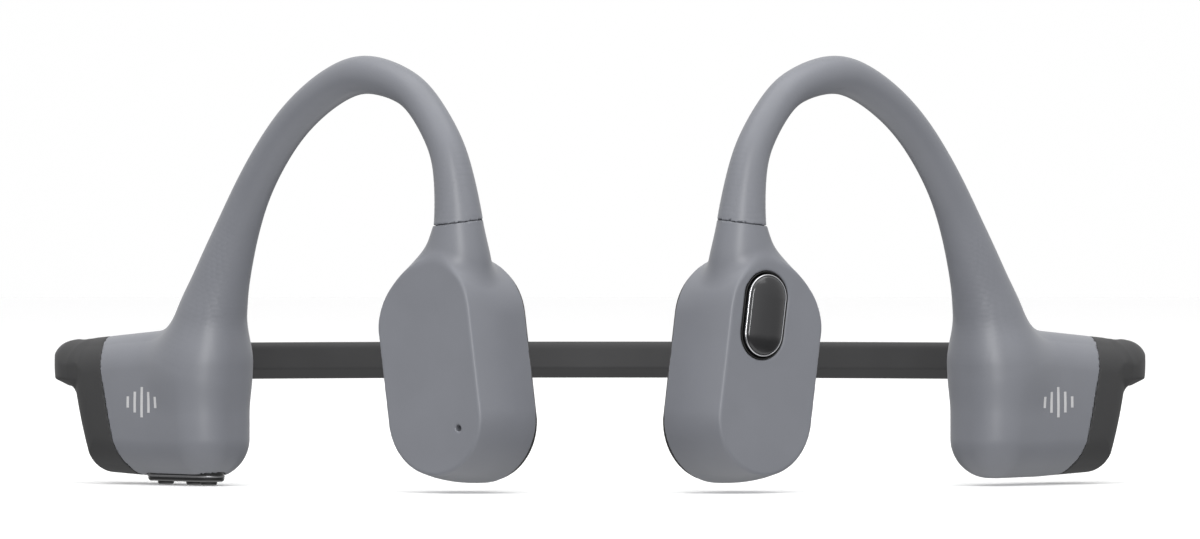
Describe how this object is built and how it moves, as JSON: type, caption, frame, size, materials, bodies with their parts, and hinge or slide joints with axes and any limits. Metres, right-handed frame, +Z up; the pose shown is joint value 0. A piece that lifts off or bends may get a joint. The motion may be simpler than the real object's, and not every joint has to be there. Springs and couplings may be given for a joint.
{
  "type": "bone conduction headphones",
  "caption": "Wireless bone conduction headset: a springy neckband, pods behind the ears, arched ear hooks and transducers that rest on the cheekbones.",
  "frame": {"origin": "middle of the bounding box, on the surface the headset stands on", "axes": "+X towards the wearer's left, +Y towards the back of the head, +Z up"},
  "size_m": [0.128, 0.0977, 0.049],
  "materials": {
    "grey_silicone": "soft matte grey silicone",
    "grey_housing": "soft-touch matte grey",
    "dark_silicone": "soft matte dark grey silicone",
    "pad_silicone": "matte black silicone",
    "seal_silicone": "matte black",
    "titanium_wire": "drawn metal",
    "black_plastic": "fine matte",
    "battery_wrap": "foil pouch",
    "circuit_board": "solder mask",
    "steel": "plain sheet",
    "gloss_black": "polished",
    "gloss_key": "polished",
    "gloss_button": "polished with a bright rim",
    "gold_contact": "gold plated",
    "copper_coil": "enamelled copper wire",
    "nickel_magnet": "nickel plated",
    "dark_mesh": "blackened mesh"
  },
  "bodies": {
    "band_back": {"band_sleeve_back": "dark_silicone", "band_wire_back": "titanium_wire"},
    "left_band_mid": {"left_band_sleeve_mid": "dark_silicone", "left_band_wire_mid": "titanium_wire"},
    "left_band_side": {"left_band_sleeve_side": "dark_silicone", "left_band_wire_side": "titanium_wire"},
    "left_pod": {"left_pod_skin": "grey_silicone", "left_pod_boot": "dark_silicone", "left_pod_case": "black_plastic", "left_band_wire_end": "titanium_wire", "left_hook_wire_rear": "titanium_wire", "left_battery_cell": "battery_wrap", "left_battery_board": "circuit_board"},
    "left_earpiece": {"left_hook_front": "grey_silicone", "left_hook_wire_front": "titanium_wire", "left_transducer_housing": "grey_housing", "left_transducer_pad": "pad_silicone", "left_driver_frame": "black_plastic", "left_leaf_spring": "steel", "left_voice_coil": "copper_coil", "left_vibration_panel": "black_plastic", "multifunction_seal": "seal_silicone", "multifunction_switch": "steel"},
    "left_magnet_set": {"left_driver_yoke": "steel", "left_driver_magnet": "nickel_magnet", "left_pole_plate": "steel"},
    "right_band_mid": {"right_band_sleeve_mid": "dark_silicone", "right_band_wire_mid": "titanium_wire"},
    "right_band_side": {"right_band_sleeve_side": "dark_silicone", "right_band_wire_side": "titanium_wire"},
    "right_pod": {"right_pod_skin": "grey_silicone", "right_pod_boot": "dark_silicone", "right_pod_case": "black_plastic", "right_band_wire_end": "titanium_wire", "right_hook_wire_rear": "titanium_wire", "charging_port": "gloss_black", "charging_pins": "gold_contact", "charging_magnets": "steel", "main_board": "circuit_board", "shield_can": "steel", "button_plate": "gloss_black", "key_switches": "steel", "switch_board": "circuit_board"},
    "right_earpiece": {"right_hook_front": "grey_silicone", "right_hook_wire_front": "titanium_wire", "right_transducer_housing": "grey_housing", "right_transducer_pad": "pad_silicone", "right_driver_frame": "black_plastic", "right_leaf_spring": "steel", "right_voice_coil": "copper_coil", "right_vibration_panel": "black_plastic", "microphone": "black_plastic", "microphone_mesh": "dark_mesh"},
    "right_magnet_set": {"right_driver_yoke": "steel", "right_driver_magnet": "nickel_magnet", "right_pole_plate": "steel"},
    "multifunction_button": {"multifunction_button": "gloss_button"},
    "volume_up_button": {"volume_up_button": "gloss_key"},
    "volume_down_button": {"volume_down_button": "gloss_key"},
    "mode_button": {"mode_button": "gloss_key"}
  },
  "joints": [
    {"name": "left_flex_1", "type": "hinge", "parent": "band_back", "child": "left_band_mid", "pos_m": [0.03861, 0.04044, 0.0138], "axis": [0, 0, 1], "range_deg": [0, 15], "stiffness_Nm_per_rad": 0.25},
    {"name": "left_flex_2", "type": "hinge", "parent": "left_band_mid", "child": "left_band_side", "pos_m": [0.05624, 0.02691, 0.0138], "axis": [0, 0, 1], "range_deg": [0, 15], "stiffness_Nm_per_rad": 0.25},
    {"name": "left_flex_3", "type": "hinge", "parent": "left_band_side", "child": "left_pod", "pos_m": [0.064, 0.0056, 0.0138], "axis": [0, 0, 1], "range_deg": [0, 15], "stiffness_Nm_per_rad": 0.25},
    {"name": "left_hook_twist", "type": "hinge", "parent": "left_pod", "child": "left_earpiece", "pos_m": [0.02618, -0.03247, 0.04685], "axis": [-0.7071, -0.7071, 0], "range_deg": [-5, 10], "stiffness_Nm_per_rad": 0.12},
    {"name": "left_driver_shake", "type": "slide", "parent": "left_earpiece", "child": "left_magnet_set", "axis": [0.5878, -0.809, 0], "range_m": [-0.0002, 0.0002], "stiffness_N_per_m": 600},
    {"name": "right_flex_1", "type": "hinge", "parent": "band_back", "child": "right_band_mid", "pos_m": [-0.03861, 0.04044, 0.0138], "axis": [0, 0, -1], "range_deg": [0, 15], "stiffness_Nm_per_rad": 0.25},
    {"name": "right_flex_2", "type": "hinge", "parent": "right_band_mid", "child": "right_band_side", "pos_m": [-0.05624, 0.02691, 0.0138], "axis": [0, 0, -1], "range_deg": [0, 15], "stiffness_Nm_per_rad": 0.25},
    {"name": "right_flex_3", "type": "hinge", "parent": "right_band_side", "child": "right_pod", "pos_m": [-0.064, 0.0056, 0.0138], "axis": [0, 0, -1], "range_deg": [0, 15], "stiffness_Nm_per_rad": 0.25},
    {"name": "right_hook_twist", "type": "hinge", "parent": "right_pod", "child": "right_earpiece", "pos_m": [-0.02618, -0.03247, 0.04685], "axis": [-0.7071, 0.7071, 0], "range_deg": [-5, 10], "stiffness_Nm_per_rad": 0.12},
    {"name": "right_driver_shake", "type": "slide", "parent": "right_earpiece", "child": "right_magnet_set", "axis": [-0.5878, -0.809, 0], "range_m": [-0.0002, 0.0002], "stiffness_N_per_m": 600},
    {"name": "multifunction_press", "type": "slide", "parent": "left_earpiece", "child": "multifunction_button", "axis": [-0.5878, 0.809, 0], "range_m": [0, 0.0004], "stiffness_N_per_m": 2500},
    {"name": "volume_up_press", "type": "slide", "parent": "right_pod", "child": "volume_up_button", "axis": [0, 0, 1], "range_m": [0, 0.0003], "stiffness_N_per_m": 3000},
    {"name": "volume_down_press", "type": "slide", "parent": "right_pod", "child": "volume_down_button", "axis": [0, 0, 1], "range_m": [0, 0.0003], "stiffness_N_per_m": 3000},
    {"name": "mode_press", "type": "slide", "parent": "right_pod", "child": "mode_button", "axis": [0, 0, 1], "range_m": [0, 0.0003], "stiffness_N_per_m": 3000}
  ]
}
